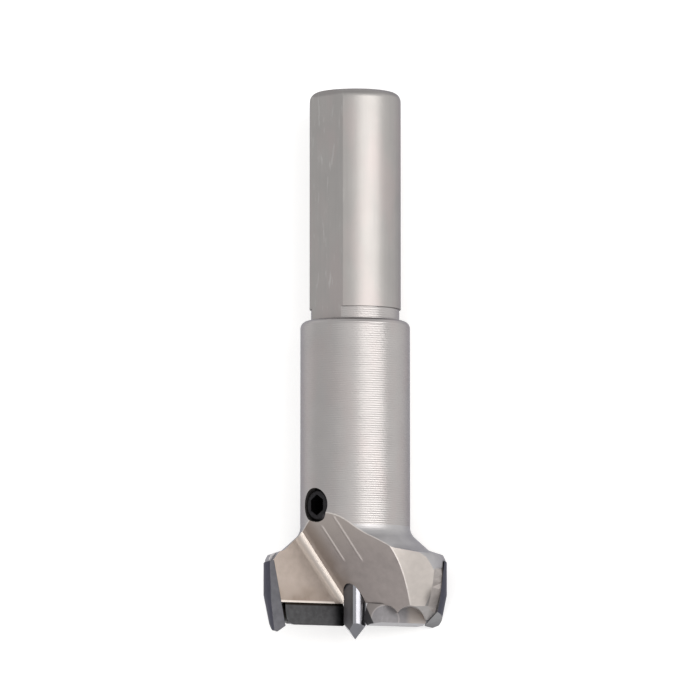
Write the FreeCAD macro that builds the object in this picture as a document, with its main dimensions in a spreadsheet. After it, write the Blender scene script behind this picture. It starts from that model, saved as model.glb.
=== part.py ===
import FreeCAD, Part
import Sketcher
import math
import os

# Hinge boring bit, 20 mm, left-hand: a turned and milled steel body with two brazed
# cutters, two brazed spurs, a loose centre point and the grub screw that clamps it.
# Every piece is drawn in the tool's own frame: Z is the bit's axis with the shank up,
# z = 0 is the plane of the main cutting edges, and X runs along those edges.
# The wing drawn is the one on +X. The other is the same, turned half a turn about Z.

V = FreeCAD.Vector
Turn = FreeCAD.Rotation
Place = FreeCAD.Placement
ALONG_X = V(1, 0, 0)
ALONG_Y = V(0, 1, 0)
ALONG_Z = V(0, 0, 1)

doc = FreeCAD.newDocument("hinge_boring_bit")

# Driving dimensions, in millimetres and degrees
SIZES = {
    # shank
    "shank_radius": 5.0,
    "shank_length": 25.2,
    "shank_edge": 1.0,
    "shank_flat_distance": 4.22,
    "shank_flat_turn": 189.0,
    "undercut_depth": 0.17,
    "undercut_length": 1.3,
    # neck and head
    "neck_radius": 6.0,
    "neck_top": 33.3,
    "neck_edge": 0.8,
    "flare_top": 10.75,
    "flare_sweep": 1.6,
    "flare_mid_radius": 6.53,
    "flare_mid": 9.56,
    "hub_radius": 8.1,
    "hub_top": 8.15,
    "cutting_radius": 10.0,
    "head_clearance": 0.15,
    "head_top": 7.65,
    "head_corner": 0.25,
    # gullets, each one slanted milling pass beside a cutting face
    "face_offset": 1.3,
    "rake": 5.0,
    "gullet_slope": 35.7,
    "gullet_opening": 106.3,
    "gullet_corner_radius": 1.1,
    "gullet_corner_reach": 1.7,
    "gullet_corner_height": 4.0,
    # ground reliefs behind each cutting face
    "heel_radius": 8.0,
    "heel_lean": 30.0,
    "heel_centre_x": 4.65,
    "heel_centre_y": 3.85,
    "heel_start": 6.9,
    "side_turn": -51.5,
    "side_top_height": 6.15,
    "side_top_inset": 0.1,
    "side_bottom_inset": 3.0,
    "side_relief_radius": 30.0,
    "wing_clearance": 21.0,
    "relief_bottom": 1.0,
    "notch_width": 1.65,
    "notch_top": 8.3,
    "notch_height": 6.5,
    "notch_depth": 0.6,
    # two round cuts that free the back of each main cutter
    "scallop_turn": -33.0,
    "inner_scallop_radius": 1.5,
    "inner_scallop_reach": 3.26,
    "inner_scallop_height": 0.65,
    "outer_scallop_radius": 1.65,
    "outer_scallop_reach": 5.96,
    "outer_scallop_height": 0.38,
    # main cutters
    "cutter_height": 2.45,
    "cutter_thickness": 1.8,
    "cutter_overrun": 0.2,
    "cutter_end_inset": 1.95,
    "cutter_chamfer_reach": 0.7,
    "cutter_chamfer_height": 1.2,
    "cutter_corner": 1.1,
    "cutter_clearance": 9.0,
    "cutter_back_off": 2.0,
    "cutter_back_depth": 2.4,
    # spurs, one ground shorter than the other
    "spur_top": 7.1,
    "spur_seat_turn": -24.0,
    "spur_seat_tilt": 10.0,
    "spur_depth": 2.0,
    "spur_relief_swell": 1.6,
    "spur_relief_x": 1.34,
    "spur_relief_y": 0.87,
    "spur_relief_height": 4.5,
    "spur_relief_tilt": 20.0,
    "spur_clearance": 10.0,
    "spur_tip_inset": 0.75,
    "spur_tip_radius": 1.0,
    "left_rim_height": 0.1,
    "left_tip_drop": 0.8,
    "left_inner_drop": 0.1,
    "right_rim_height": 0.5,
    "right_tip_drop": 0.05,
    "right_inner_rise": 0.15,
    "spur_gap": 0.3,
    # centre point
    "point_radius": 1.25,
    "point_top": 20.0,
    "point_tip": 1.5,
    "point_chamfer": 0.25,
    "point_flat_distance": 1.0,
    "point_facet_angle": 36.0,
    "point_facet_turn": -28.0,
    "bore_clearance": 0.05,
    "bore_extra": 2.0,
    # grub screw
    "screw_turn": 189.0,
    "screw_height": 12.95,
    "screw_radius": 1.8,
    "screw_outer_end": 5.6,
    "screw_clearance": 0.05,
    "screw_chamfer": 0.3,
    "socket_width": 2.0,
    "socket_depth": 1.8,
    # how the finished bit lies on a table
    "lying_turn": 45.6,
}

# Sizes that follow from the driving ones
WORKED_OUT = {
    "shank_end": "neck_top + shank_length",
    "shank_end_radius": "shank_radius - shank_edge",
    "shank_edge_start": "shank_end - shank_edge",
    "undercut_radius": "shank_radius - undercut_depth",
    "undercut_end": "neck_top + undercut_length",
    "neck_edge_radius": "neck_radius - neck_edge",
    "neck_edge_height": "neck_top - neck_edge",
    "head_radius": "cutting_radius - head_clearance",
    "head_corner_radius": "head_radius - head_corner",
    "head_corner_height": "head_top - 2 * head_corner",
    "far": "2 * head_radius",
    "wide": "2 * far",
    "through": "2 * wide",
    "heel_start_depth": "sqrt(heel_radius * heel_radius - heel_start * heel_start)",
    "side_top_distance": "head_radius - side_top_inset",
    "side_bottom_distance": "head_radius - side_bottom_inset",
    "notch_reach": "head_radius - notch_width",
    "cutter_outer_end": "cutting_radius - cutter_end_inset",
    "spur_seat_distance": "cutting_radius - spur_depth",
    "spur_thickness": "2 * spur_depth",
    "spur_relief_radius": "cutting_radius + spur_relief_swell",
    "spur_tip_reach": "cutting_radius - spur_tip_inset",
    "cutter_corner_reach": "cutter_outer_end - cutter_corner",
    "cutter_end_plane": "spur_seat_distance - spur_gap",
    "cutter_back_reach": "cutter_back_off - cutter_overrun",
    "cutter_back_foot": "face_offset + cutter_back_depth",
    "bore_radius": "point_radius + bore_clearance",
    "bore_top": "point_top + bore_extra",
    "point_chamfer_radius": "point_radius - point_chamfer",
    "point_chamfer_height": "point_top - point_chamfer",
    "facet_reach": "2 * point_radius",
    "facet_bottom": "point_tip + facet_reach",
    "facet_top": "facet_reach / tan(point_facet_angle * 1deg) - point_tip",
    "screw_length": "screw_outer_end - point_flat_distance",
    "screw_chamfer_radius": "screw_radius - screw_chamfer",
    "screw_chamfer_height": "screw_length - screw_chamfer",
    "screw_hole_radius": "screw_radius + screw_clearance",
    "socket_half_width": "socket_width / 2",
    "socket_corner": "socket_half_width / cos(30deg)",
    "socket_half_corner": "socket_corner / 2",
}

sheet = doc.addObject("Spreadsheet::Sheet", "Sizes")
for row, (alias, value) in enumerate(SIZES.items(), start=1):
    sheet.set(f"A{row}", alias)
    sheet.set(f"B{row}", str(value))
    sheet.setAlias(f"B{row}", alias)
for row, (alias, formula) in enumerate(WORKED_OUT.items(), start=1):
    sheet.set(f"D{row}", alias)
    sheet.set(f"E{row}", "=" + formula)
    sheet.setAlias(f"E{row}", alias)
doc.recompute()


def number(term):
    """The value of a size, of a size with a minus sign before it, or of zero."""
    if term == 0:
        return 0.0
    if term.startswith("-"):
        return -float(sheet.get(term[1:]))
    return float(sheet.get(term))


def cell(term):
    """The same term as an expression that follows the sheet."""
    if term.startswith("-"):
        return "-Sizes." + term[1:]
    return "Sizes." + term


def make_body(label):
    body = doc.addObject("PartDesign::Body", label)
    body.Label = label
    return body


def origin_part(body, role):
    """The plane or axis of the body's own origin with that role."""
    return next(item for item in body.Origin.OriginFeatures if item.Role == role)


def sketch_on(body, name, role, offset=None):
    """A sketch on one of the body's origin planes, moved and turned by the offset."""
    sketch = body.newObject("Sketcher::SketchObject", name)
    sketch.AttachmentSupport = (origin_part(body, role), [""])
    sketch.MapMode = "FlatFace"
    if offset is not None:
        sketch.AttachmentOffset = offset
    return sketch


def pin_down(sketch, edge, end, spot):
    """Ties one end of an edge to its place, measured from the sketch's origin."""
    for term, kind, axis in ((spot[0], "DistanceX", -2), (spot[1], "DistanceY", -1)):
        if term == 0:
            sketch.addConstraint(Sketcher.Constraint("PointOnObject", edge, end, axis))
        else:
            entry = sketch.addConstraint(
                Sketcher.Constraint(kind, -1, 1, edge, end, number(term)))
            sketch.setExpression(f"Constraints[{entry}]", cell(term))


def outline(sketch, spots, arcs=()):
    """A closed outline through named spots. An entry of arcs is the edge's number, its
    radius, and 1 where it turns to the left or -1 where it turns to the right."""
    places = [V(number(x), number(y), 0) for x, y in spots]
    bends = {edge: (radius, side) for edge, radius, side in arcs}
    begins = []
    for edge, start in enumerate(places):
        end = places[(edge + 1) % len(places)]
        if edge not in bends:
            sketch.addGeometry(Part.LineSegment(start, end))
            begins.append(1)
            continue
        radius, side = bends[edge]
        chord = end - start
        to_left = V(-chord.y, chord.x, 0).normalize()
        rise = number(radius) - (number(radius) ** 2 - chord.Length ** 2 / 4) ** 0.5
        middle = (start + end) * 0.5 - to_left * (side * rise)
        sketch.addGeometry(Part.Arc(start, middle, end))
        begins.append(1 if side > 0 else 2)
    for edge in range(len(places)):
        following = (edge + 1) % len(places)
        sketch.addConstraint(Sketcher.Constraint(
            "Coincident", edge, 3 - begins[edge], following, begins[following]))
    for edge, spot in enumerate(spots):
        pin_down(sketch, edge, begins[edge], spot)
    for edge, (radius, side) in bends.items():
        entry = sketch.addConstraint(
            Sketcher.Constraint("Radius", edge, number(radius)))
        sketch.setExpression(f"Constraints[{entry}]", cell(radius))


def circle(sketch, radius, spot=None):
    """A circle about the sketch's origin, or about a named spot."""
    centre = V(0, 0, 0) if spot is None else V(number(spot[0]), number(spot[1]), 0)
    edge = sketch.addGeometry(Part.Circle(centre, ALONG_Z, number(radius)))
    if spot is None:
        sketch.addConstraint(Sketcher.Constraint("Coincident", edge, 3, -1, 1))
    else:
        pin_down(sketch, edge, 3, spot)
    entry = sketch.addConstraint(Sketcher.Constraint("Radius", edge, number(radius)))
    sketch.setExpression(f"Constraints[{entry}]", cell(radius))


def revolved(body, sketch):
    """The sketch turned once round the body's Z axis."""
    solid = body.newObject("PartDesign::Revolution", sketch.Name + "_turned")
    solid.Profile = sketch
    solid.ReferenceAxis = (origin_part(body, "Z_Axis"), [""])
    solid.Angle = 360
    return solid


def padded(body, sketch, length):
    solid = body.newObject("PartDesign::Pad", sketch.Name + "_pad")
    solid.Profile = sketch
    solid.setExpression("Length", cell(length))
    return solid


def pocketed(body, sketch, depth=None, forward=False, both=False):
    """Cuts the sketch's outline out, to a depth or, without one, right through."""
    cut = body.newObject("PartDesign::Pocket", sketch.Name + "_cut")
    cut.Profile = sketch
    cut.Reversed = forward
    if depth is None:
        cut.Type = "Length"
        cut.setExpression("Length", cell("through"))
        cut.Midplane = both
    else:
        cut.setExpression("Length", cell(depth))
    return cut


def repeated(body, features, copies, name):
    """The features repeated round the body's Z axis."""
    pattern = body.newObject("PartDesign::PolarPattern", name)
    pattern.Originals = features
    pattern.Axis = (origin_part(body, "Z_Axis"), [""])
    pattern.Angle = 360
    pattern.Occurrences = copies
    body.Tip = pattern
    return pattern


def facing(turn, distance, tilt):
    """Offset from the YZ plane to one that faces sideways at an angle about the axis,
    at a distance from it, and leans down by the tilt."""
    about = Turn(ALONG_Y, number(turn))
    spot = about.multVec(V(0, 0, number(distance)))
    return Place(spot, about.multiply(Turn(ALONG_X, number(tilt))))


def standing(turn):
    """Offset from the XZ plane to an upright one turned about the axis."""
    return Place(V(0, 0, 0), Turn(ALONG_Y, number(turn)))


def on_face(lean):
    """Offset from the XZ plane to the wing's cutting face, which leans back."""
    return Place(V(0, 0, number("face_offset")), Turn(ALONG_X, number(lean)))


def under_edge(clearance):
    """Offset from the XY plane to one that rises behind the cutting edge."""
    return Place(V(0, -number("face_offset"), 0), Turn(ALONG_X, -number(clearance)))


def spur_seat():
    return facing("spur_seat_turn", "spur_seat_distance", "spur_seat_tilt")


def make_steel_body():
    body = make_body("steel_body")

    # turned blank: shank, undercut, neck, flare and head
    blank = sketch_on(body, "blank", "XZ_Plane")
    outline(blank, [
        (0, 0),
        ("head_radius", 0),
        ("head_radius", "head_corner_height"),
        ("head_corner_radius", "head_top"),
        ("hub_radius", "hub_top"),
        ("flare_mid_radius", "flare_mid"),
        ("neck_radius", "flare_top"),
        ("neck_radius", "neck_edge_height"),
        ("neck_edge_radius", "neck_top"),
        ("undercut_radius", "neck_top"),
        ("undercut_radius", "undercut_end"),
        ("shank_radius", "undercut_end"),
        ("shank_radius", "shank_edge_start"),
        ("shank_end_radius", "shank_end"),
        (0, "shank_end"),
    ], arcs=[(5, "flare_sweep", -1), (7, "neck_edge", 1), (12, "shank_edge", 1)])
    revolved(body, blank)

    # gullet: the cutting face and a slanted floor, with a rounded corner between them
    corner_height = number("gullet_corner_height")
    lean = Turn(ALONG_X, number("rake"))
    corner = V(number("gullet_corner_reach"), -number("face_offset"), 0)
    corner += lean.multVec(V(0, 0, corner_height))
    slant = lean.multiply(Turn(ALONG_Y, number("gullet_slope")))
    gullet_sketch = sketch_on(body, "gullet", "XY_Plane", Place(corner, slant))
    gullet_outline(gullet_sketch)
    gullet = pocketed(body, gullet_sketch, both=True)

    # heel behind the cutting face, ground to a leaning round
    leaning = Place(V(number("heel_centre_x"), number("heel_centre_y"), 0),
                    Turn(ALONG_X, number("heel_lean")))
    heel = sketch_on(body, "heel", "XY_Plane", leaning)
    outline(heel, [
        ("-heel_start", "-heel_start_depth"),
        ("heel_radius", 0),
        ("far", 0),
        ("far", "-far"),
        ("-heel_start", "-far"),
    ], arcs=[(0, "heel_radius", 1)])

    # side relief between the heel and the spur
    side = sketch_on(body, "side", "XZ_Plane", standing("side_turn"))
    outline(side, [
        ("side_top_distance", "side_top_height"),
        ("side_bottom_distance", "-relief_bottom"),
        ("far", "-relief_bottom"),
        ("far", "side_top_height"),
    ], arcs=[(0, "side_relief_radius", -1)])
    cuts = [gullet, pocketed(body, heel, both=True), pocketed(body, side, both=True)]

    # clearance under the wing, behind the cutting edge
    clearance = sketch_on(body, "clearance", "XY_Plane", under_edge("wing_clearance"))
    outline(clearance, [(0, 0), (0, "-far"), ("far", "-far"), ("far", 0)])
    cuts.append(pocketed(body, clearance))

    # seat of the main cutter in the face, and the small notch at the face's top corner
    seat = sketch_on(body, "cutter_seat", "XZ_Plane", on_face("rake"))
    outline(seat, [("-cutter_overrun", "-relief_bottom"), ("far", "-relief_bottom"),
                   ("far", "cutter_height"), ("-cutter_overrun", "cutter_height")])
    cuts.append(pocketed(body, seat, "cutter_thickness", forward=True))
    for name in ("inner_scallop", "outer_scallop"):
        scallop = sketch_on(body, name, "XZ_Plane", standing("scallop_turn"))
        circle(scallop, name + "_radius", (name + "_reach", name + "_height"))
        cuts.append(pocketed(body, scallop, both=True))
    notch = sketch_on(body, "notch", "XZ_Plane", on_face("rake"))
    outline(notch, [("notch_reach", "notch_top"), ("head_radius", "notch_height"),
                    ("far", "notch_height"), ("far", "far"), ("notch_reach", "far")])
    cuts.append(pocketed(body, notch, "notch_depth", forward=True))

    # flat seat of the spur on the wing's rim, deeper towards the cutting edge
    rim = sketch_on(body, "spur_seat", "YZ_Plane", spur_seat())
    outline(rim, [("-far", "-relief_bottom"), ("far", "-relief_bottom"),
                  ("far", "spur_top"), ("-far", "spur_top")])
    cuts.append(pocketed(body, rim, forward=True))
    repeated(body, cuts, 2, "both_wings")

    # bore for the centre point, tapped hole of its screw and the shank's clamping flat
    bore = sketch_on(body, "bore", "XY_Plane")
    circle(bore, "bore_radius")
    pocketed(body, bore, "bore_top", forward=True)
    across = facing("screw_turn", 0, 0)
    across.Base = V(0, number("screw_height"), 0)
    hole = sketch_on(body, "screw_hole", "YZ_Plane", across)
    circle(hole, "screw_hole_radius")
    pocketed(body, hole, "far", forward=True)
    above = Place(V(0, 0, number("neck_top")), Turn(ALONG_Z, number("shank_flat_turn")))
    flat = sketch_on(body, "shank_flat", "XY_Plane", above)
    outline(flat, [("shank_flat_distance", "-far"), ("far", "-far"),
                   ("far", "far"), ("shank_flat_distance", "far")])
    pocketed(body, flat, forward=True)
    return body


def gullet_outline(sketch):
    """Cross-section of the milling pass. X runs out along the cutting face, Y away from
    it, and the floor leans away by the opening angle."""
    wide = number("wide")
    opening = Turn(ALONG_Z, number("gullet_opening"))
    spots = [V(0, 0, 0), V(wide, 0, 0), V(wide, wide, 0),
             opening.multVec(V(wide, 0, 0))]
    for start, end in zip(spots, spots[1:] + spots[:1]):
        sketch.addGeometry(Part.LineSegment(start, end))
    for edge in range(4):
        sketch.addConstraint(Sketcher.Constraint("Coincident", edge, 2, (edge + 1) % 4, 1))
    sketch.addConstraint(Sketcher.Constraint("Coincident", 0, 1, -1, 1))
    sketch.addConstraint(Sketcher.Constraint("Horizontal", 0))
    sketch.addConstraint(Sketcher.Constraint("Vertical", 1))
    angle = sketch.addConstraint(Sketcher.Constraint(
        "Angle", 0, 1, 3, 2, math.radians(number("gullet_opening"))))
    sketch.setExpression(f"Constraints[{angle}]", "Sizes.gullet_opening * 1deg")
    for edge in (0, 1, 3):
        length = sketch.addConstraint(Sketcher.Constraint("Distance", edge, wide))
        sketch.setExpression(f"Constraints[{length}]", cell("wide"))
    sketch.fillet(0, 3, V(1, 0, 0), opening.multVec(V(1, 0, 0)),
                  number("gullet_corner_radius"), True, True)


def make_cutter(label):
    body = make_body(label)
    plate = sketch_on(body, label + "_plate", "XZ_Plane", on_face("rake"))
    outline(plate, [
        ("cutter_chamfer_reach", 0),
        ("cutter_corner_reach", 0),
        ("cutter_outer_end", "cutter_corner"),
        ("cutter_outer_end", "cutter_height"),
        ("-cutter_overrun", "cutter_height"),
        ("-cutter_overrun", "cutter_chamfer_height"),
    ], arcs=[(1, "cutter_corner", 1)])
    padded(body, plate, "cutter_thickness")
    clearance = sketch_on(body, label + "_clearance", "XY_Plane",
                          under_edge("cutter_clearance"))
    outline(clearance, [("-far", "far"), ("-far", "-far"), ("far", "-far"), ("far", "far")])
    pocketed(body, clearance)
    outer_end = sketch_on(body, label + "_outer_end", "YZ_Plane",
                          facing("spur_seat_turn", "cutter_end_plane", "spur_seat_tilt"))
    outline(outer_end, [("-far", "-far"), ("far", "-far"), ("far", "far"), ("-far", "far")])
    pocketed(body, outer_end, forward=True)

    # back of the inner end, ground off beside the other wing's gullet
    back_off = sketch_on(body, label + "_back_off", "XY_Plane")
    outline(back_off, [
        ("-cutter_overrun", "-face_offset"),
        ("-cutter_overrun", "-cutter_back_foot"),
        ("cutter_back_reach", "-cutter_back_foot"),
    ])
    pocketed(body, back_off, both=True)
    return body


def make_spur(label, rim_height, tip, inner):
    body = make_body(label)
    plate = sketch_on(body, label + "_plate", "YZ_Plane", spur_seat())
    outline(plate, [("-far", "-relief_bottom"), ("far", "-relief_bottom"),
                    ("far", "spur_top"), ("-far", "spur_top")])
    padded(body, plate, "spur_thickness")

    # outside: round to the bit's full size, then relieved by a leaning larger round
    rim = sketch_on(body, label + "_rim", "XY_Plane")
    circle(rim, "cutting_radius")
    circle(rim, "wide")
    pocketed(body, rim, both=True)
    lean = Place(V(-number("spur_relief_x"), number("spur_relief_y"),
                   number("spur_relief_height")),
                 Turn(ALONG_X, number("spur_relief_tilt")))
    relief = sketch_on(body, label + "_relief", "XY_Plane", lean)
    circle(relief, "spur_relief_radius")
    circle(relief, "wide")
    pocketed(body, relief, both=True)

    # front, ground flush with the cutting face
    front = sketch_on(body, label + "_front", "XZ_Plane", on_face("rake"))
    outline(front, [("-far", "-far"), ("far", "-far"), ("far", "far"), ("-far", "far")])
    pocketed(body, front)

    # foot: a rounded scoring tip that rises towards the back
    foot = sketch_on(body, label + "_foot", "XZ_Plane", on_face("-spur_clearance"))
    outline(foot, [
        ("cutting_radius", rim_height),
        ("spur_tip_reach", tip),
        ("cutter_outer_end", inner),
        ("-far", inner),
        ("-far", "-far"),
        ("far", "-far"),
        ("far", rim_height),
    ], arcs=[(0, "spur_tip_radius", -1)])
    pocketed(body, foot, both=True)
    return body


def make_centre_point():
    body = make_body("centre_point")
    pin = sketch_on(body, "pin", "XZ_Plane")
    outline(pin, [
        (0, "-point_tip"),
        ("point_radius", "-point_tip"),
        ("point_radius", "point_chamfer_height"),
        ("point_chamfer_radius", "point_top"),
        (0, "point_top"),
    ])
    revolved(body, pin)

    # four ground facets meet in the point
    facet_sketch = sketch_on(body, "facet", "XZ_Plane", standing("point_facet_turn"))
    outline(facet_sketch, [(0, "-point_tip"), (0, "-facet_bottom"),
                           ("facet_reach", "-facet_bottom"), ("facet_reach", "facet_top")])
    facet = pocketed(body, facet_sketch, both=True)
    repeated(body, [facet], 4, "facets")

    # flat that the grub screw bears on
    flat = sketch_on(body, "pin_flat", "YZ_Plane",
                     facing("screw_turn", "point_flat_distance", 0))
    outline(flat, [("-point_radius", "-point_tip"), ("point_radius", "-point_tip"),
                   ("point_radius", "point_top"), ("-point_radius", "point_top")])
    pocketed(body, flat, forward=True)
    return body


def make_grub_screw():
    """Drawn about its own axis, with its inner end at zero."""
    body = make_body("grub_screw")
    blank = sketch_on(body, "screw_blank", "XZ_Plane")
    outline(blank, [
        (0, 0),
        ("screw_chamfer_radius", 0),
        ("screw_radius", "screw_chamfer"),
        ("screw_radius", "screw_chamfer_height"),
        ("screw_chamfer_radius", "screw_length"),
        (0, "screw_length"),
    ])
    revolved(body, blank)
    socket = sketch_on(body, "socket", "XY_Plane",
                       Place(V(0, 0, number("screw_length")), Turn()))
    outline(socket, [
        ("socket_corner", 0),
        ("socket_half_corner", "socket_half_width"),
        ("-socket_half_corner", "socket_half_width"),
        ("-socket_corner", 0),
        ("-socket_half_corner", "-socket_half_width"),
        ("socket_half_corner", "-socket_half_width"),
    ])
    pocketed(body, socket, "socket_depth")
    return body


steel = make_steel_body()
right_cutter = make_cutter("right_cutter")
left_cutter = make_cutter("left_cutter")
right_spur = make_spur("right_spur", "right_rim_height", "-right_tip_drop",
                       "right_inner_rise")
left_spur = make_spur("left_spur", "left_rim_height", "-left_tip_drop",
                      "-left_inner_drop")
centre_point = make_centre_point()
grub_screw = make_grub_screw()
doc.recompute()

# The bit lies on its side, shank towards +Y, with the open side of a gullet up
lying = Turn(ALONG_X, -90).multiply(Turn(ALONG_Z, number("lying_turn")))
half_turn = Place(V(0, 0, 0), Turn(ALONG_Z, 180))
screw_seat = Turn(ALONG_Z, number("screw_turn")).multiply(Turn(ALONG_Y, 90))
screw_spot = screw_seat.multVec(V(0, 0, number("point_flat_distance")))
screw_spot += V(0, 0, number("screw_height"))
in_tool = {
    steel: Place(),
    right_cutter: Place(),
    right_spur: Place(),
    left_cutter: half_turn,
    left_spur: half_turn,
    centre_point: Place(),
    grub_screw: Place(screw_spot, screw_seat),
}
on_side = Place(V(0, 0, 0), lying)
for body, place in in_tool.items():
    body.Placement = on_side.multiply(place)
doc.recompute()
reach = FreeCAD.BoundBox()
for body in in_tool:
    reach.add(body.Shape.optimalBoundingBox(False, False))
on_table = Place(V(-reach.Center.x, -reach.Center.y, -reach.ZMin), lying)
for body, place in in_tool.items():
    body.Placement = on_table.multiply(place)
doc.recompute()

for item in doc.Objects:
    if "Invalid" in item.State or "Error" in item.State:
        raise RuntimeError(f"{item.Label} failed: {item.State}")
os.makedirs("parts", exist_ok=True)
for body in in_tool:
    shape = body.Shape
    if shape.isNull() or not shape.isValid() or len(shape.Solids) != 1:
        raise RuntimeError(f"{body.Label} is not one valid solid")
    shape.exportStep(f"parts/{body.Label}.step")
    print(body.Label, round(shape.Volume, 2), shape.optimalBoundingBox(False, False))
print("whole", reach.XLength, reach.YLength, reach.ZLength)
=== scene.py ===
import math
import bmesh
import bpy
from mathutils import Matrix, Vector


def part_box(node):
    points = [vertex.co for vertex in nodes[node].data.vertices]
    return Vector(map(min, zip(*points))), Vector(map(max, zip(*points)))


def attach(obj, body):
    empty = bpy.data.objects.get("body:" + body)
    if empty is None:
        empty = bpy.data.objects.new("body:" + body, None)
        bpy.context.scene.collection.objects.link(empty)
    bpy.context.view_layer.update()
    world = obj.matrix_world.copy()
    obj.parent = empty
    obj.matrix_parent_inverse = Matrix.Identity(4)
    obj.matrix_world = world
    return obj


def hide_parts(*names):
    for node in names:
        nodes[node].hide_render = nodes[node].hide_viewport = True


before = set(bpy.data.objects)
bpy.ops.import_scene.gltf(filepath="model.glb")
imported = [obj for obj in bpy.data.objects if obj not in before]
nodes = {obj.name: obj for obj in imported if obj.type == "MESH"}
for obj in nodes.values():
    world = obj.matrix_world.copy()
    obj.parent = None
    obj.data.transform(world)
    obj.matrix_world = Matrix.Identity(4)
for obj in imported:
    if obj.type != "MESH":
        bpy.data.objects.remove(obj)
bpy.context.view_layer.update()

# Camera. It looks down on the lying bit from well above, a little from the tip's side. The
# bit lies along Y with its tip towards -Y, at the height of its axis above the table, and
# is rolled a little away from upright as the camera sees it.
mm = 0.001
axis_height = (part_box("centre_point")[0].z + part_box("centre_point")[1].z) / 2
edge_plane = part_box("right_cutter")[0].y
camera_roll = math.radians(12.6)


def seen(right, along, towards):
    """A point given by its distance right of the bit's axis, its height above the cutting
    edges, and its distance from the axis towards the camera, in millimetres."""
    sideways = Vector((math.cos(camera_roll), 0, -math.sin(camera_roll)))
    lookback = Vector((math.sin(camera_roll), 0, math.cos(camera_roll)))
    start = Vector((0, edge_plane, axis_height))
    return start + (sideways * right + lookback * towards + Vector((0, along, 0))) * mm


camera_data = bpy.data.cameras.new("camera")
camera_data.sensor_width = 36
camera_data.lens = 316.2
camera_data.shift_x = -0.0074
camera_data.shift_y = 0.022
camera_data.clip_start = 0.05
camera = bpy.data.objects.new("camera", camera_data)
bpy.context.scene.collection.objects.link(camera)
bpy.context.scene.camera = camera
camera.location = seen(0, -31.5, 670)
lookback = (camera.location - seen(0, 28.5, 0)).normalized()
across = Vector((0, 1, 0)).cross(lookback).normalized()
upwards = lookback.cross(across)
camera.rotation_euler = Matrix((across, upwards, lookback)).transposed().to_euler()


# Table. A plain pale sheet that the bit lies on, white to the camera and to polished steel,
# and with the bit's own soft shadow.
table_size = 1.5
table_tone = 0.78
table_lift = 0.42

table_mesh = bpy.data.meshes.new("table")
table_shape = bmesh.new()
bmesh.ops.create_grid(table_shape, x_segments=1, y_segments=1, size=table_size)
table_shape.to_mesh(table_mesh)
table_shape.free()
table = bpy.data.objects.new("table", table_mesh)
bpy.context.scene.collection.objects.link(table)

table_paint = bpy.data.materials.new("pale_table")
table_paint.use_nodes = True
tree = table_paint.node_tree
tree.nodes.clear()
sheet_end = tree.nodes.new("ShaderNodeOutputMaterial")
matt = tree.nodes.new("ShaderNodeBsdfDiffuse")
matt.inputs["Color"].default_value = (table_tone, table_tone, table_tone, 1)
glow = tree.nodes.new("ShaderNodeEmission")


def to_eye_or_mirror(tree):
    """1 for a ray from the camera or off a polished or clear surface, 0 for any other."""
    rays = tree.nodes.new("ShaderNodeLightPath")
    polished = tree.nodes.new("ShaderNodeMath")
    polished.operation = "MAXIMUM"
    tree.links.new(rays.outputs["Is Glossy Ray"], polished.inputs[0])
    tree.links.new(rays.outputs["Is Transmission Ray"], polished.inputs[1])
    either = tree.nodes.new("ShaderNodeMath")
    either.operation = "MAXIMUM"
    tree.links.new(rays.outputs["Is Camera Ray"], either.inputs[0])
    tree.links.new(polished.outputs[0], either.inputs[1])
    return either.outputs[0]


lift = tree.nodes.new("ShaderNodeMath")
lift.operation = "MULTIPLY"
lift.inputs[1].default_value = table_lift
tree.links.new(to_eye_or_mirror(tree), lift.inputs[0])
tree.links.new(lift.outputs[0], glow.inputs["Strength"])
both = tree.nodes.new("ShaderNodeAddShader")
tree.links.new(matt.outputs[0], both.inputs[0])
tree.links.new(glow.outputs[0], both.inputs[1])
tree.links.new(both.outputs[0], sheet_end.inputs["Surface"])
table_mesh.materials.append(table_paint)


# Light. An even pale room, white to the camera and to polished steel, a long soft box over
# the right of the bit, a wide faint one above it and one low over its tip.
room_level = 0.62
room_seen = 0.95

room = bpy.data.worlds.new("studio")
bpy.context.scene.world = room
room.use_nodes = True
tree = room.node_tree
pick = tree.nodes.new("ShaderNodeMapRange")
pick.inputs["To Min"].default_value = room_level
pick.inputs["To Max"].default_value = room_seen
tree.links.new(to_eye_or_mirror(tree), pick.inputs["Value"])
tree.links.new(pick.outputs["Result"], tree.nodes["Background"].inputs["Strength"])
tree.nodes["Background"].inputs["Color"].default_value = (1, 1, 1, 1)

for name, place, size, power in (
    ("right_soft_box", (0.475, 0.12, 0.425), (0.28, 0.66), 2.30),
    ("top_soft_box", (0.05, 0.1, 0.65), (0.55, 0.8), 0.55),
    ("tip_soft_box", (-0.23, -0.50, 0.35), (0.24, 0.24), 1.1),
):
    lamp_data = bpy.data.lights.new(name, "AREA")
    lamp_data.shape = "RECTANGLE"
    lamp_data.size, lamp_data.size_y = size
    lamp_data.energy = power
    lamp_data.color = (1.0, 0.975, 0.95)
    lamp = bpy.data.objects.new(name, lamp_data)
    bpy.context.scene.collection.objects.link(lamp)
    lamp.location = place
    lamp.rotation_euler = (-Vector(place)).to_track_quat("-Z", "Y").to_euler()

bpy.context.scene.view_settings.view_transform = "Standard"


# Steel body. One piece of steel, turned, with the gullets milled slantwise into its head
# and the backs of the wings ground. Each machined surface keeps its own finish.
edge_turn = math.radians(45.6)


def on_bit(spot):
    """A place or direction in the bit's own terms: along the cutting edges, across them,
    and from the edges towards the shank."""
    along_edges = Vector((math.cos(edge_turn), 0, -math.sin(edge_turn)))
    across_edges = Vector((-math.sin(edge_turn), 0, -math.cos(edge_turn)))
    return Vector((spot.dot(along_edges), spot.dot(across_edges), spot.y))


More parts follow.
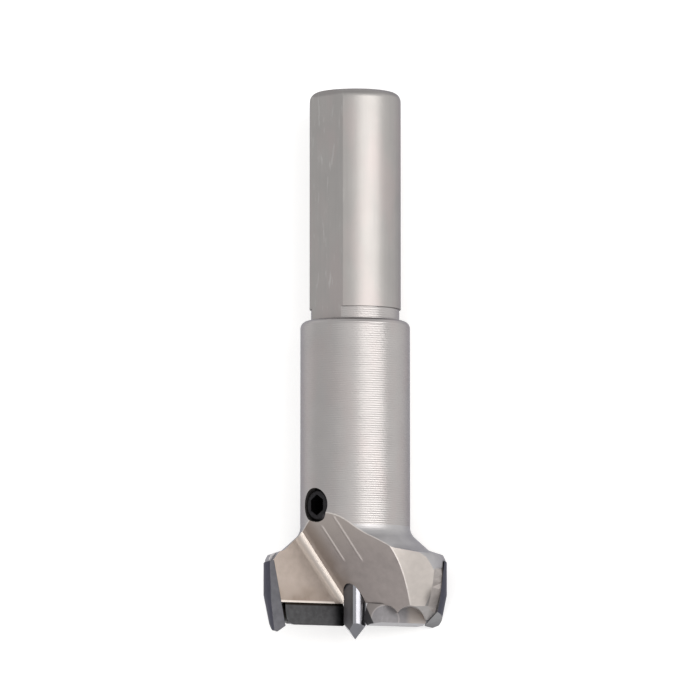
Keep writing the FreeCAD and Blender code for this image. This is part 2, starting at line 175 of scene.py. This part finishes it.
def bare_finish(name, colour, roughness, spread=0.06, cloud_size=1.2, metallic=1.0):
    """A bare metal finish with soft clouding, its clouds given by their size in mm."""
    material = bpy.data.materials.new(name)
    material.use_nodes = True
    tree = material.node_tree
    metal = tree.nodes["Principled BSDF"]
    metal.inputs["Metallic"].default_value = metallic
    metal.inputs["Roughness"].default_value = roughness
    where = tree.nodes.new("ShaderNodeTexCoord")
    where.name = "where"
    clouds = tree.nodes.new("ShaderNodeTexNoise")
    clouds.inputs["Scale"].default_value = 1 / (cloud_size * mm)
    clouds.inputs["Detail"].default_value = 4.0
    tree.links.new(where.outputs["Object"], clouds.inputs["Vector"])
    tones = tree.nodes.new("ShaderNodeValToRGB")
    tones.color_ramp.elements[0].position = 0.3
    tones.color_ramp.elements[1].position = 0.7
    tones.color_ramp.elements[0].color = [c * (1 - spread) for c in colour] + [1]
    tones.color_ramp.elements[1].color = [c * (1 + spread) for c in colour] + [1]
    tree.links.new(clouds.outputs["Fac"], tones.inputs["Fac"])
    tree.links.new(tones.outputs["Color"], metal.inputs["Base Color"])
    return material


def colour_over(material, mask, colour, most=1.0):
    """Lays a colour over what the material has, where the mask is 1."""
    tree = material.node_tree
    metal = tree.nodes["Principled BSDF"]
    under = metal.inputs["Base Color"].links[0].from_socket
    strength = tree.nodes.new("ShaderNodeMath")
    strength.operation = "MULTIPLY"
    strength.inputs[1].default_value = most
    tree.links.new(mask, strength.inputs[0])
    mixed = tree.nodes.new("ShaderNodeMix")
    mixed.data_type = "RGBA"
    tree.links.new(strength.outputs[0], mixed.inputs["Factor"])
    tree.links.new(under, mixed.inputs["A"])
    mixed.inputs["B"].default_value = (*colour, 1)
    tree.links.new(mixed.outputs["Result"], metal.inputs["Base Color"])


def sum_of(tree, operation, first, second):
    """One step of arithmetic between two masks, or a mask and a number."""
    step = tree.nodes.new("ShaderNodeMath")
    step.operation = operation
    step.use_clamp = operation != "SUBTRACT"
    tree.links.new(first, step.inputs[0])
    if isinstance(second, float):
        step.inputs[1].default_value = second
    else:
        tree.links.new(second, step.inputs[1])
    return step.outputs[0]


def distance_mask(material, direction, start, near, far):
    """1 where a place is less than near millimetres from the start along the direction,
    falling to 0 at far."""
    tree = material.node_tree
    measure = tree.nodes.new("ShaderNodeVectorMath")
    measure.operation = "DOT_PRODUCT"
    measure.inputs[1].default_value = Vector(direction).normalized()
    tree.links.new(tree.nodes["where"].outputs["Object"], measure.inputs[0])
    ramp = tree.nodes.new("ShaderNodeMapRange")
    ramp.interpolation_type = "SMOOTHSTEP"
    begin = Vector(start).dot(Vector(direction).normalized())
    ramp.inputs["From Min"].default_value = begin + far * mm
    ramp.inputs["From Max"].default_value = begin + near * mm
    tree.links.new(measure.outputs["Value"], ramp.inputs["Value"])
    return ramp.outputs["Result"]


def round_mask(material, centre, low, high):
    """0 within low millimetres of a line that runs through the bit from front to back,
    rising to 1 at high."""
    tree = material.node_tree
    offset = tree.nodes.new("ShaderNodeVectorMath")
    offset.operation = "SUBTRACT"
    offset.inputs[1].default_value = centre
    tree.links.new(tree.nodes["where"].outputs["Object"], offset.inputs[0])
    sideways = tree.nodes.new("ShaderNodeVectorMath")
    sideways.operation = "CROSS_PRODUCT"
    sideways.inputs[1].default_value = (seen(0, 0, 1) - seen(0, 0, 0)).normalized()
    tree.links.new(offset.outputs["Vector"], sideways.inputs[0])
    reach = tree.nodes.new("ShaderNodeVectorMath")
    reach.operation = "LENGTH"
    tree.links.new(sideways.outputs["Vector"], reach.inputs[0])
    ramp = tree.nodes.new("ShaderNodeMapRange")
    ramp.inputs["From Min"].default_value = low * mm
    ramp.inputs["From Max"].default_value = high * mm
    tree.links.new(reach.outputs["Value"], ramp.inputs["Value"])
    return ramp.outputs["Result"]


def noise_mask(material, sizes, low, high):
    """1 in the lighter part of a noise whose clouds have these sizes along X, Y and Z."""
    tree = material.node_tree
    fit = tree.nodes.new("ShaderNodeMapping")
    fit.inputs["Scale"].default_value = [1 / (size * mm) for size in sizes]
    clouds = tree.nodes.new("ShaderNodeTexNoise")
    clouds.inputs["Scale"].default_value = 1.0
    clouds.inputs["Detail"].default_value = 5.0
    tree.links.new(tree.nodes["where"].outputs["Object"], fit.inputs["Vector"])
    tree.links.new(fit.outputs["Vector"], clouds.inputs["Vector"])
    ramp = tree.nodes.new("ShaderNodeMapRange")
    ramp.inputs["From Min"].default_value = low
    ramp.inputs["From Max"].default_value = high
    tree.links.new(clouds.outputs["Fac"], ramp.inputs["Value"])
    return ramp.outputs["Result"]


def turning_lines(material, pitch, depth, waver=0.0):
    """Fine rings round the bit's axis, left by the lathe tool."""
    tree = material.node_tree
    rings = tree.nodes.new("ShaderNodeTexWave")
    rings.bands_direction = "Y"
    rings.inputs["Scale"].default_value = math.pi / 10 / (pitch * mm)
    rings.inputs["Distortion"].default_value = waver
    rings.inputs["Detail Scale"].default_value = 2.0
    tree.links.new(tree.nodes["where"].outputs["Object"], rings.inputs["Vector"])
    return bump_of(material, rings.outputs["Fac"], depth)


def bump_of(material, height, depth):
    """Raises the surface by up to depth millimetres where height is 1."""
    tree = material.node_tree
    metal = tree.nodes["Principled BSDF"]
    relief = tree.nodes.new("ShaderNodeBump")
    relief.inputs["Distance"].default_value = depth * mm
    tree.links.new(height, relief.inputs["Height"])
    if metal.inputs["Normal"].is_linked:
        tree.links.new(metal.inputs["Normal"].links[0].from_socket, relief.inputs["Normal"])
    tree.links.new(relief.outputs["Normal"], metal.inputs["Normal"])


def merged_shape(node):
    """The solid's surface with its loose triangles joined and flat faces made whole."""
    shape = bmesh.new()
    shape.from_mesh(nodes[node].data)
    bmesh.ops.remove_doubles(shape, verts=shape.verts, dist=1e-6)
    bmesh.ops.dissolve_limit(shape, angle_limit=math.radians(0.2),
                             verts=shape.verts, edges=shape.edges)
    return shape


def dressed(node, name, shape, materials, edge_width, blends=(), sharp_angle=28):
    """The finished piece that stands for a solid: smooth where the solid curves and where
    two finishes are named as blending, with its other edges broken to the given width."""
    mesh = bpy.data.meshes.new(name)
    for face in shape.faces:
        face.smooth = True
    for edge in shape.edges:
        finishes = {face.material_index for face in edge.link_faces}
        edge.smooth = (edge.calc_face_angle() < math.radians(sharp_angle)
                       and (len(finishes) == 1 or finishes in blends))
    shape.to_mesh(mesh)
    shape.free()
    for material in materials:
        mesh.materials.append(material)
    piece = bpy.data.objects.new(name, mesh)
    bpy.context.scene.collection.objects.link(piece)
    broken = piece.modifiers.new("broken_edges", "BEVEL")
    broken.width = edge_width * mm
    broken.segments = 2
    broken.limit_method = "ANGLE"
    broken.angle_limit = math.radians(sharp_angle)
    even = piece.modifiers.new("even_shading", "WEIGHTED_NORMAL")
    even.keep_sharp = True
    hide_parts(node)
    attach(piece, "root")
    return piece


def line_mask(material, start, end, across, width):
    """1 on a thin straight line over the surface, falling to 0 at its sides and ends."""
    tree = material.node_tree
    course = (end - start).normalized()
    offset = tree.nodes.new("ShaderNodeVectorMath")
    offset.operation = "SUBTRACT"
    offset.inputs[1].default_value = start
    tree.links.new(tree.nodes["where"].outputs["Object"], offset.inputs[0])
    masks = []
    for direction, low, high, fade in ((across, -width * mm, width * mm, width * mm),
                                       (course, 0, (end - start).length, 0.5 * mm)):
        measure = tree.nodes.new("ShaderNodeVectorMath")
        measure.operation = "DOT_PRODUCT"
        measure.inputs[1].default_value = direction
        tree.links.new(offset.outputs["Vector"], measure.inputs[0])
        centred = sum_of(tree, "SUBTRACT", measure.outputs["Value"], (low + high) / 2)
        away = tree.nodes.new("ShaderNodeMath")
        away.operation = "ABSOLUTE"
        tree.links.new(centred, away.inputs[0])
        ramp = tree.nodes.new("ShaderNodeMapRange")
        ramp.interpolation_type = "SMOOTHSTEP"
        ramp.inputs["From Min"].default_value = (high - low) / 2
        ramp.inputs["From Max"].default_value = (high - low) / 2 - fade
        tree.links.new(away.outputs[0], ramp.inputs["Value"])
        masks.append(ramp.outputs["Result"])
    return sum_of(tree, "MULTIPLY", *masks)


shank_start = 34.55
shank_end = 58.5
neck_start = 10.70
shank_finish = bare_finish("ground_shank", (0.315, 0.303, 0.294), 0.445, 0.03, 3.0)
colour_over(shank_finish, noise_mask(shank_finish, (0.35, 9.0, 0.35), 0.45, 0.75),
            (0.29, 0.28, 0.275), 0.5)
colour_over(shank_finish, noise_mask(shank_finish, (3.0, 8.0, 3.0), 0.45, 0.62),
            (0.345, 0.307, 0.300), 0.55)
sooty_end = distance_mask(shank_finish, (0, -1, 0), seen(0, shank_end, 0), 0.45, 0.75)
colour_over(shank_finish, sooty_end, (0.175, 0.165, 0.165), 0.45)
# short light rubs, most of them on the flat's side
rubbed = sum_of(
    shank_finish.node_tree, "MULTIPLY",
    distance_mask(shank_finish, seen(1, 0, 0) - seen(0, 0, 0), seen(-1.5, 0, 0), -1.5, 1.5),
    noise_mask(shank_finish, (0.45, 2.6, 0.45), 0.60, 0.72))
colour_over(shank_finish, rubbed, (0.44, 0.43, 0.42), 0.6)

neck_finish = bare_finish("turned_neck", (0.345, 0.330, 0.325), 0.36, 0.03, 2.5)
colour_over(neck_finish, noise_mask(neck_finish, (2.5, 6.0, 2.5), 0.45, 0.62),
            (0.352, 0.318, 0.312), 0.5)
turning_lines(neck_finish, 0.245, 0.016, 0.4)

flare_finish = bare_finish("turned_flare", (0.355, 0.348, 0.352), 0.42, 0.07, 1.6)
turning_lines(flare_finish, 0.18, 0.003, 0.5)
for finish in (shank_finish, neck_finish, flare_finish):
    dull = finish.node_tree.nodes["Principled BSDF"]
    dull.inputs["Specular Tint"].default_value = (0.52, 0.52, 0.57, 1)


def off_bit(direction):
    """A direction in the bit's own terms, turned as the bit lies."""
    return Vector((
        direction.x * math.cos(edge_turn) - direction.y * math.sin(edge_turn),
        direction.z,
        -direction.x * math.sin(edge_turn) - direction.y * math.cos(edge_turn),
    ))


def floor_way(side):
    """The way a gullet's floor faces, in the bit's own terms: one floor faces up beside
    the left wing, side 1, and its twin faces down, side -1."""
    return Vector((-0.779 * side, -0.328 * side, -0.533))


face_slope = math.radians(5)
floor_finishes = {}
painted_highlight_corner_finishes = {}
for side in (1, -1):
    floor_facing = floor_way(side)
    face_facing = Vector((0, -side * math.cos(face_slope), math.sin(face_slope)))
    finish = bare_finish("milled_floor", (0.222, 0.196, 0.188), 0.5, 0.08, 0.9, 0.5)
    # painted light: the floor's upper part, towards the shank, is painted lighter than its lower
    # part, for the light that falls on it more
    upper_floor = distance_mask(finish, (0, -1, 0), seen(0, 11.5, 0), 0.0, 5.0)
    colour_over(finish, upper_floor, (0.285, 0.255, 0.238), 0.8)
    corner_course = off_bit(floor_facing.cross(face_facing)).normalized()
    from_corner = off_bit(floor_facing).cross(corner_course).normalized()
    if from_corner.x * side < 0:
        from_corner.negate()
    corner_foot = seen(-4.56 * side, 8.14, 1.21 * side)
    brown_band = sum_of(
        finish.node_tree, "MULTIPLY",
        distance_mask(finish, from_corner, corner_foot, 0.9, 2.9),
        noise_mask(finish, (1.5, 3.0, 1.5), 0.15, 0.45))
    colour_over(finish, brown_band, (0.165, 0.130, 0.108), 0.8)
    # the corner runs out into the floor in a soft curve
    run_out = distance_mask(finish, from_corner, corner_foot, 0.0, 0.9)
    bump_of(finish, sum_of(finish.node_tree, "MULTIPLY", run_out, run_out), 0.10)
    # two ridges left between passes of the milling cutter, raised a little and painted lighter
    # as a highlight along them
    for start, end in ((seen(-3.78 * side, 10.86, 3.84 * side),
                        seen(-1.05 * side, 6.76, 2.57 * side)),
                       (seen(-2.52 * side, 11.85, 5.45 * side),
                        seen(1.04 * side, 6.75, 3.98 * side))):
        ridge_and_painted_highlight = line_mask(finish, start, end, from_corner, 0.24)
        colour_over(finish, ridge_and_painted_highlight, (0.42, 0.385, 0.37), 0.65)
        bump_of(finish, ridge_and_painted_highlight, 0.03)
    floor_finishes[side] = finish
    # the corner's fillet is painted light as a highlight along it, and painted darker near the
    # wing's face as shade
    painted_highlight_corner_finish = bare_finish("milled_corner_painted_highlight", (0.480, 0.435, 0.400), 0.46, 0.05, 0.8)
    painted_shade_beside_face = distance_mask(painted_highlight_corner_finish, from_corner, corner_foot, -0.68, -0.24)
    colour_over(painted_highlight_corner_finish, painted_shade_beside_face, (0.270, 0.232, 0.205), 0.92)
    painted_highlight_corner_finishes[side] = painted_highlight_corner_finish

face_foot = 2.45
face_finish = bare_finish("milled_face", (0.300, 0.256, 0.226), 0.42, 0.07, 0.8, 0.8)
scorched = sum_of(
    face_finish.node_tree, "MULTIPLY",
    distance_mask(face_finish, (0, 1, 0), seen(0, face_foot, 0), 0.2, 2.6),
    noise_mask(face_finish, (1.6, 1.6, 1.6), 0.25, 0.6))
colour_over(face_finish, scorched, (0.17, 0.132, 0.105), 0.75)
# a painted highlight: a thin light line along the face's foot, where the steel's edge above the
# cutter catches the light
painted_highlight_at_foot = distance_mask(face_finish, (0, 1, 0), seen(0, face_foot, 0), 0.14, 0.26)
colour_over(face_finish, painted_highlight_at_foot, (0.62, 0.57, 0.53), 0.8)

heel_finish = bare_finish("ground_heel", (0.51, 0.468, 0.438), 0.45, 0.05, 0.7, 0.8)
side_finish = bare_finish("ground_side", (0.305, 0.278, 0.266), 0.5, 0.10, 0.5, 0.3)
under_finish = bare_finish("milled_under", (0.27, 0.255, 0.25), 0.45, 0.08, 0.5, 0.5)
bore_finish = bare_finish("drilled_bore", (0.16, 0.15, 0.145), 0.5, 0.05, 1.0)
# a painted highlight for the thin strips that round off the gullet floors' edges
painted_edge_highlight_finish = bare_finish("painted_edge_highlight", (0.46, 0.43, 0.41), 0.45, 0.10, 0.6, 0.6)

# where the surfaces end: heights above the cutting edges and reaches from the axis, in mm
heel_slope = math.radians(30)
heel_axis = Vector((0, -math.sin(heel_slope), math.cos(heel_slope)))
heel_centre = Vector((4.65, 3.85, 0))
heel_least, heel_most = 7.8, 8.1
bore_top, bore_reach = 33, 2.0
shoulder_foot, shoulder_reach = 20, 1.5
neck_reach = 4.7
face_top = 8
outer_face_top, outer_face_start = 7.2, 9
flare_foot = 6.9
rim_foot, rim_start = 5.9, 9.3
under_top = 2.7
side_start = 6.5
heel_start = 4


def surface_of(face):
    """Which machined surface a face of the body belongs to, by its place and direction."""
    middle = on_bit(face.calc_center_median() - seen(0, 0, 0)) / mm
    facing = on_bit(face.normal)
    outwards = Vector((middle.x, middle.y, 0))
    radius = outwards.length
    for side in (1, -1):
        if facing.dot(floor_way(side)) > 0.99:
            return "upper_floor" if side > 0 else "lower_floor"
    # the neck's shoulder and the shank's end lie across the axis, as dull as a bore
    if middle.z > shoulder_foot and radius < shoulder_reach:
        return "bore"
    if middle.z < bore_top and radius < bore_reach and facing.dot(outwards) < -0.5 * radius:
        return "bore"
    if middle.z > shank_start:
        return "shank"
    if middle.z > neck_start:
        return "neck" if radius > neck_reach else "bore"
    wing = 1 if middle.x > 0 else -1
    middle = Vector((middle.x * wing, middle.y * wing, middle.z))
    facing = Vector((facing.x * wing, facing.y * wing, facing.z))
    away = middle - heel_centre
    away -= heel_axis * away.dot(heel_axis)
    corner = "upper_corner" if wing < 0 else "lower_corner"
    if (facing.y > 0.99 and middle.z < face_top
            and (middle.z < outer_face_top or radius < outer_face_start)):
        return "face" if facing.x < 0.02 else corner
    if middle.z > flare_foot and facing.z > 0.01 or (middle.z > rim_foot and radius > rim_start):
        return "flare"
    if middle.z < under_top and facing.z < -0.5:
        return "under"
    if heel_least < away.length < heel_most and facing.y < 0:
        return "heel"
    if facing.z < 0.05 and facing.y < -0.3 and radius > side_start:
        return "side"
    if facing.y < -0.2:
        return "heel"
    if facing.y < 0.2:
        return "side"
    if abs(middle.y) > heel_start:
        return "heel"
    return corner


surfaces = {
    "shank": shank_finish,
    "neck": neck_finish,
    "flare": flare_finish,
    "upper_floor": floor_finishes[1],
    "lower_floor": floor_finishes[-1],
    "upper_corner": painted_highlight_corner_finishes[1],
    "lower_corner": painted_highlight_corner_finishes[-1],
    "face": face_finish,
    "heel": heel_finish,
    "side": side_finish,
    "under": under_finish,
    "bore": bore_finish,
    "edge": painted_edge_highlight_finish,
}
surface_order = list(surfaces)
blending = [{surface_order.index(first), surface_order.index(second)}
            for first, second in (("neck", "flare"),
                                  ("upper_corner", "face"), ("upper_corner", "upper_floor"),
                                  ("lower_corner", "face"), ("lower_corner", "lower_floor"))]
body_shape = merged_shape("steel_body")
for face in body_shape.faces:
    face.material_index = surface_order.index(surface_of(face))

# the steel ends level above each cutter, up to the corner of the gullet
level_end = 2.44
for corner in body_shape.verts:
    place = on_bit(corner.co - seen(0, 0, 0)) / mm
    wing = 1 if place.x > 0 else -1
    if (0.5 < place.x * wing < 1.2 and -1.5 < place.y * wing < -1.1
            and 1.7 < place.z < level_end):
        corner.co.y += (level_end - place.z) * mm

# the ground side runs out level with the spur's back instead of stepping down beside it; the
# back's edge has two straight runs, each given by its level at the cutting edge and its slope
spur_back_runs = ((1.19, 0.58), (4.76, -0.365))
spur_back_top = 6
side_index = surface_order.index("side")
for wing in (1, -1):
    towards = wing * (seen(0, 0, 1) - seen(0, 0, 0)).normalized()
    wing_sides = [face for face in body_shape.faces if face.material_index == side_index
                  and on_bit(face.calc_center_median() - seen(0, 0, 0)).x * wing > 0]
    seat = max(wing_sides, key=lambda face: face.calc_area())
    up_seat = towards - seat.normal * towards.dot(seat.normal)
    for corner in seat.verts:
        place = (corner.co - seen(0, 0, 0)) / mm
        level = min(start + slope * place.y for start, slope in spur_back_runs)
        rise = level - place.dot(towards)
        shares_edge = any(face in wing_sides for face in corner.link_faces if face != seat)
        if shares_edge and rise > 0 and place.y < spur_back_top:
            corner.co += up_seat / up_seat.dot(towards) * rise * mm

# each gullet floor's edge is rounded off in a thin strip, painted light as a highlight along the
# edge
rim_width = 0.07
shortest_rim = 0.12
floors = {surface_order.index("upper_floor"), surface_order.index("lower_floor")}
outer = {surface_order.index(name) for name in ("neck", "flare", "heel")}
floor_rims = []
for edge in body_shape.edges:
    finishes = {face.material_index for face in edge.link_faces}
    if finishes & floors and finishes & outer and edge.calc_length() > shortest_rim * mm:
        floor_rims.append(edge)
rims = bmesh.ops.bevel(body_shape, geom=floor_rims, offset=rim_width * mm, offset_type="OFFSET",
                       affect="EDGES", segments=1, profile=0.5, material=-1,
                       clamp_overlap=False)
for face in rims["faces"]:
    face.material_index = surface_order.index("edge")

dressed("steel_body", "machined_body", body_shape, surfaces.values(), 0.09,
        blending)


# Cutters. Two small plates of sintered tungsten carbide, brazed under the wings, with
# their cutting faces and flanks ground bright and their backs dulled by the braze.
carbide_finish = bare_finish("sintered_carbide", (0.046, 0.046, 0.048), 0.36, 0.16, 0.5)
# a dark line at the top of the cutting face: the braze joint, painted darker as the shadow under
# the steel's edge
solder_line_and_painted_shadow = distance_mask(carbide_finish, (0, -1, 0), seen(0, face_foot, 0), 0.22, 0.36)
colour_over(carbide_finish, solder_line_and_painted_shadow, (0.010, 0.008, 0.006), 0.95)
flank_finish = bare_finish("ground_carbide", (0.250, 0.245, 0.262), 0.35, 0.06, 0.5)
arch_radius = 1.5
rim_half_width = 0.10
trim_start = Vector((0.50, -1.3, 2.45))
trim_facing = Vector((-0.921, -0.389, 0.157))
back_finishes = {}
for side in (1, -1):
    finish = bare_finish("brazed_back", (0.242, 0.232, 0.240), 0.5, 0.07, 0.4, 0.5)
    outwards = seen(side, 0, 0) - seen(0, 0, 0)
    arch_centre = seen(3.26 * side, 0.65, 0)
    outside = round_mask(finish, arch_centre, arch_radius - 0.03, arch_radius + 0.03)
    inner_side = distance_mask(finish, outwards, arch_centre, -0.35, 0.35)
    web = sum_of(finish.node_tree, "MULTIPLY", outside, inner_side)
    colour_over(finish, web, (0.225, 0.203, 0.194), 0.9)
    # a painted highlight: a thin light line round the arch's edge
    rim = sum_of(
        finish.node_tree, "MULTIPLY",
        round_mask(finish, arch_centre, arch_radius - rim_half_width, arch_radius - 0.02),
        round_mask(finish, arch_centre, arch_radius + rim_half_width, arch_radius + 0.02))
    colour_over(finish, rim, (0.42, 0.39, 0.385), 0.7)
    beside_spur = distance_mask(finish, -outwards, seen(5.8 * side, 0, 0), -0.4, 0.4)
    colour_over(finish, beside_spur, (0.40, 0.355, 0.325), 0.8)
    # the lowest corner of the inner end is bare carbide, painted near black as the shadow beside
    # the centre point
    bare_corner_and_painted_shadow = distance_mask(finish, seen(0.917 * side, 0.398, 0) - seen(0, 0, 0),
                                seen(1.20 * side, 2.08, 0), -0.04, 0.04)
    colour_over(finish, bare_corner_and_painted_shadow, (0.012, 0.012, 0.015), 0.95)
    back_finishes[side] = finish
for name, wing in (("left_cutter", -1), ("right_cutter", 1)):
    cutter_shape = merged_shape(name)
    # the inner end is milled away level with the gullet floor beside it
    trim_spot = seen(0, 0, 0) + off_bit(Vector((wing * trim_start.x, wing * trim_start.y,
                                                trim_start.z))) * mm
    trim_way = off_bit(Vector((wing * trim_facing.x, wing * trim_facing.y, trim_facing.z)))
    bmesh.ops.bisect_plane(
        cutter_shape, geom=[*cutter_shape.verts, *cutter_shape.edges, *cutter_shape.faces],
        plane_co=trim_spot, plane_no=trim_way, clear_outer=True)
    rim_edges = [edge for edge in cutter_shape.edges if edge.is_boundary]
    bmesh.ops.holes_fill(cutter_shape, edges=rim_edges)
    for face in cutter_shape.faces:
        facing = on_bit(face.normal) * wing
        if face.normal.y < -0.8:
            face.material_index = 1
        elif facing.y < -0.5 or facing.x < -0.5:
            face.material_index = 2
    dressed(name, "dressed_" + name, cutter_shape,
            (carbide_finish, flank_finish, back_finishes[wing]), 0.03)

# Spurs. A slip of the same carbide is brazed to the outer end of each wing, ground round on
# the outside, with a rounded tip at its foot that scores the hole's rim.
spur_finish = bare_finish("ground_spur", (0.082, 0.082, 0.090), 0.38, 0.12, 0.6)
rim_finish = bare_finish("ground_spur_rim", (0.082, 0.082, 0.094), 0.40, 0.12, 0.5)
rim_finish.node_tree.nodes["Principled BSDF"].inputs["Specular Tint"].default_value = (
    0.42, 0.42, 0.46, 1)
for name, wing in (("left_spur", -1), ("right_spur", 1)):
    spur_shape = merged_shape(name)
    for face in spur_shape.faces:
        middle = on_bit(face.calc_center_median() - seen(0, 0, 0)) / mm
        facing = on_bit(face.normal)
        if facing.x * middle.x + facing.y * middle.y > 0.7 * math.hypot(middle.x, middle.y):
            face.material_index = 1
    dressed(name, "dressed_" + name, spur_shape, (spur_finish, rim_finish),
            0.03)

# Centre point. A loose ground steel pin with a flat for the grub screw, its tip ground to
# four facets that meet in the point.
point_finish = bare_finish("ground_point", (0.20, 0.20, 0.217), 0.11, 0.05, 0.8)
flat_finish = bare_finish("milled_flat", (0.165, 0.160, 0.168), 0.45, 0.05, 0.8)
point_shape = merged_shape("centre_point")
max(point_shape.faces, key=lambda face: face.calc_area()).material_index = 1
pin = dressed("centre_point", "dressed_centre_point", point_shape,
              (point_finish, flat_finish), 0.03)
pin.modifiers.clear()
rounding = []
for face in pin.data.polygons:
    for spot in face.vertices:
        outwards = pin.data.vertices[spot].co - seen(0, 0, 0)
        outwards.y = 0
        outwards.normalize()
        rounding.append(outwards if face.normal.dot(outwards) > 0.97 else face.normal)
pin.data.normals_split_custom_set(rounding)

# Grub screw. A blackened steel screw with a hexagon socket, which sits across the neck and
# clamps the centre point by its flat.
screw_finish = bare_finish("blackened_screw", (0.020, 0.019, 0.021), 0.40, 0.3, 0.3)
dressed("grub_screw", "dressed_grub_screw", merged_shape("grub_screw"),
        (screw_finish,), 0.05)
